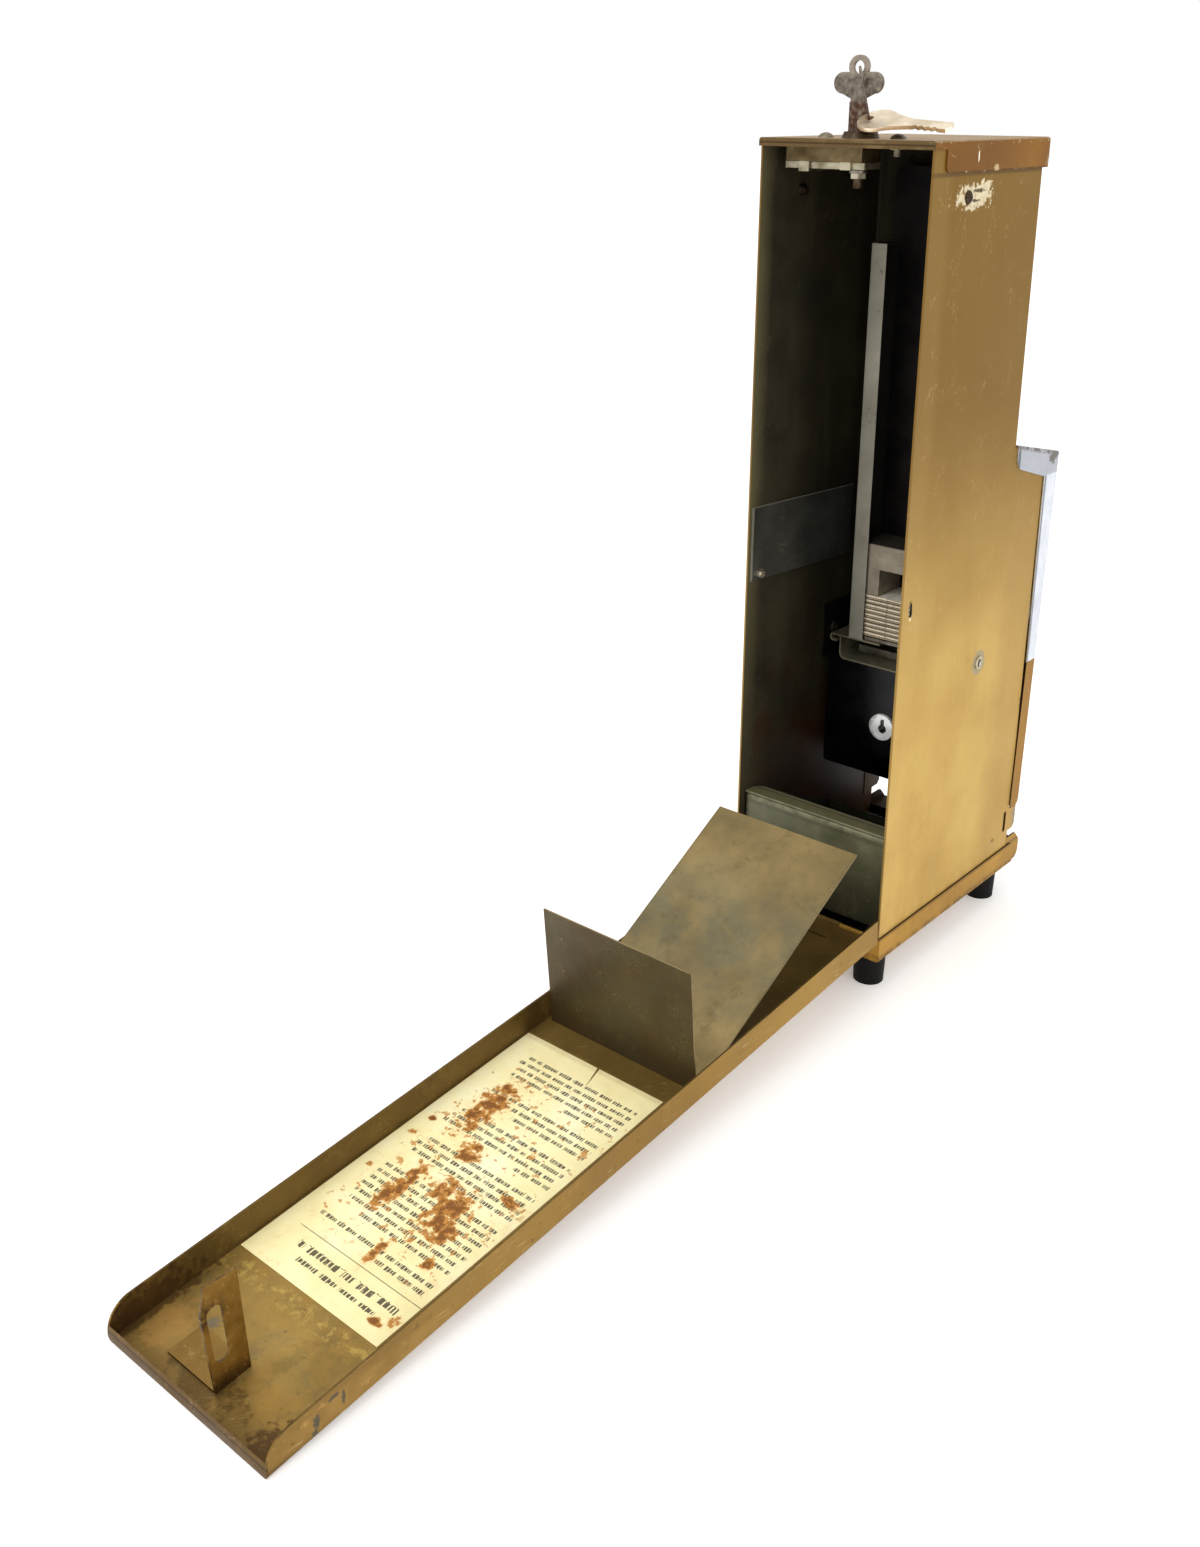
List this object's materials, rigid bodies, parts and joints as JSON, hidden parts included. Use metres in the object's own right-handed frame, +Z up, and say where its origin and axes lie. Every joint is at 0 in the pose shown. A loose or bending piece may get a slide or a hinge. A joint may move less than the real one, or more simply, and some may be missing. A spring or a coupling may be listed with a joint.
{
  "type": "stamp vending machine",
  "caption": "Counter-top stamp vending machine with a stepped narrow cabinet, chromed hood, top key lock and a rear service door that lies open on the counter.",
  "frame": {"origin": "middle of the base's footprint on the counter plane, under the feet", "axes": "+Z up, -Y to the customer's side, +Y to the rear door, which lies open along +Y"},
  "size_m": [0.1052, 0.6421, 0.5049],
  "materials": {
    "gold_paint": "satin gold-tan paint, worn",
    "door_inner_paint": "dull olive-gold paint",
    "chrome_plate": "chrome with grime at the edges",
    "bronze_sheet": "tarnished olive-bronze finish",
    "grey_steel": "dull zinc-grey steel",
    "khaki_zinc": "yellowed zinc plate",
    "dark_sheet": "dark olive-black paint",
    "black_enamel": "black enamel",
    "cast_weight": "bare cast metal",
    "folded_card": "cream folded card",
    "label_paper": "aged cream paper",
    "black_rubber": "matte black rubber",
    "screw_plate": "plated screw, slightly dull",
    "key_steel": "tarnished nickel",
    "key_brass": "pale worn brass",
    "box_sheet": "grey-olive paint, worn hem"
  },
  "bodies": {
    "cabinet": {"housing_shell": "gold_paint", "top_cap": "gold_paint", "base_pan": "gold_paint", "delivery_lip": "gold_paint", "rubber_feet": "black_rubber", "foot_screws": "screw_plate", "chrome_hood": "chrome_plate", "lower_front_cover": "gold_paint", "coin_slide_escutcheon": "chrome_plate", "shelf_plate": "bronze_sheet", "slide_tunnel": "khaki_zinc", "mechanism_case": "black_enamel", "case_lock_barrel": "chrome_plate", "mechanism_bracket": "dark_sheet", "side_rivets": "screw_plate", "magazine_rail_left": "grey_steel", "magazine_rail_right": "grey_steel", "magazine_back": "dark_sheet", "magazine_standoffs": "grey_steel", "stamp_folders": "folded_card", "delivery_chute": "dark_sheet", "cash_box_runners": "dark_sheet", "wall_plate": "dark_sheet", "wall_plate_screw": "screw_plate", "upper_side_screws": "screw_plate", "lock_strap": "grey_steel", "lock_case": "khaki_zinc", "lock_collar": "screw_plate", "lock_screws": "screw_plate", "lock_nut": "screw_plate", "bolt_keepers": "khaki_zinc", "base_hinge_leaf": "gold_paint", "hinge_pin": "grey_steel"},
    "back_door": {"door_pan": "door_inner_paint", "door_hinge_leaf": "gold_paint", "door_baffle": "bronze_sheet", "direction_label": "label_paper", "hasp_bracket": "bronze_sheet"},
    "door_key_and_plug": {"lock_plug": "screw_plate", "lock_cam": "grey_steel", "plug_nut": "screw_plate", "door_key": "key_steel"},
    "ringed_spare_key": {"key_ring": "key_steel", "spare_key": "key_brass"},
    "lock_bolt": {"lock_bolt": "grey_steel"},
    "stamp_weight": {"stamp_weight": "cast_weight"},
    "coin_slide": {"coin_slide": "chrome_plate", "slide_handle": "chrome_plate", "ejector_blade": "grey_steel"},
    "cash_box": {"cash_box": "box_sheet"},
    "case_lock_plug": {"case_lock_plug": "chrome_plate"}
  },
  "joints": [
    {"name": "back_door_hinge", "type": "hinge", "parent": "cabinet", "child": "back_door", "pos_m": [0, 0.0886, 0.0376], "axis": [1, 0, 0], "range_deg": [0, 94.84]},
    {"name": "key_turn", "type": "hinge", "parent": "cabinet", "child": "door_key_and_plug", "pos_m": [0.0006, 0.071, 0.46], "axis": [0, 0, -1], "range_deg": [0, 90]},
    {"name": "bolt_slide", "type": "slide", "parent": "cabinet", "child": "lock_bolt", "axis": [-1, 0, 0], "range_m": [0, 0.0131]},
    {"name": "spare_key_swing", "type": "hinge", "parent": "door_key_and_plug", "child": "ringed_spare_key", "pos_m": [0.0032, 0.071, 0.4993], "axis": [0, 1, 0], "range_deg": [0, 60]},
    {"name": "weight_lift", "type": "slide", "parent": "cabinet", "child": "stamp_weight", "axis": [0, 0, 1], "range_m": [0, 0.17]},
    {"name": "coin_slide_push", "type": "slide", "parent": "cabinet", "child": "coin_slide", "axis": [0, 1, 0], "range_m": [0, 0.032]},
    {"name": "cash_box_pull", "type": "slide", "parent": "cabinet", "child": "cash_box", "axis": [0, -1, 0], "range_m": [-0.025, 0]},
    {"name": "case_lock_turn", "type": "hinge", "parent": "cabinet", "child": "case_lock_plug", "pos_m": [0, 0.01, 0.1292], "axis": [0, 1, 0], "range_deg": [0, 90]}
  ],
  "couplings": [
    {"joint": "bolt_slide", "follows": "key_turn", "m_per_rad": 0.0082761}
  ]
}
